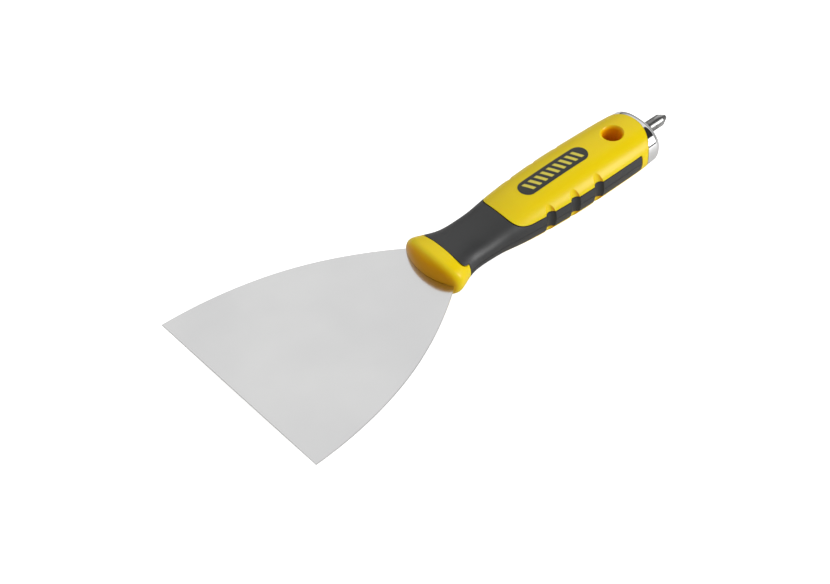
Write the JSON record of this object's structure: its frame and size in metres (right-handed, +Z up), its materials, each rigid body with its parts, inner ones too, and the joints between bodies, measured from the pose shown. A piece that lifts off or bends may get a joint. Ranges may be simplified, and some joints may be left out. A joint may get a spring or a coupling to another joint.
{
  "type": "filling knife with screwdriver bit",
  "caption": "Wide fan-shaped filling knife with a soft-grip handle, a steel hammer cap and a pull-out cross-point screwdriver bit at its end.",
  "frame": {"origin": "centre of the underside of the whole tool's bounding box, with the tool lying flat on its handle and the blade level", "axes": "+X along the tool from the working edge of the blade to the tip of the bit, +Y across the blade, +Z up through the thickness"},
  "size_m": [0.2508, 0.1, 0.024],
  "materials": {
    "blade_steel": "satin ground stainless steel sheet",
    "yellow_plastic": "semi-gloss moulded polypropylene",
    "grip_rubber": "matt soft moulded elastomer",
    "carrier_plastic": "plain moulded polypropylene",
    "badge_print": "dark satin inlay with a plain yellow line pattern",
    "cap_chrome": "bright chrome plate on steel",
    "socket_steel": "turned steel",
    "spring_steel": "drawn spring wire",
    "magnet_nickel": "nickel plate",
    "bit_steel": "sand-blasted grey tool steel"
  },
  "bodies": {
    "handle": {"blade": "blade_steel", "tang_carrier": "carrier_plastic", "handle_shell": "yellow_plastic", "soft_grip": "grip_rubber", "upper_badge": "badge_print", "lower_badge": "badge_print", "end_cap": "cap_chrome", "bit_socket": "socket_steel", "retaining_ring": "spring_steel", "bit_magnet": "magnet_nickel"},
    "bit": {"screwdriver_bit": "bit_steel"}
  },
  "joints": [
    {"name": "bit_pull", "type": "slide", "parent": "handle", "child": "bit", "axis": [1, 0, 0], "range_m": [0, 0.014]}
  ]
}
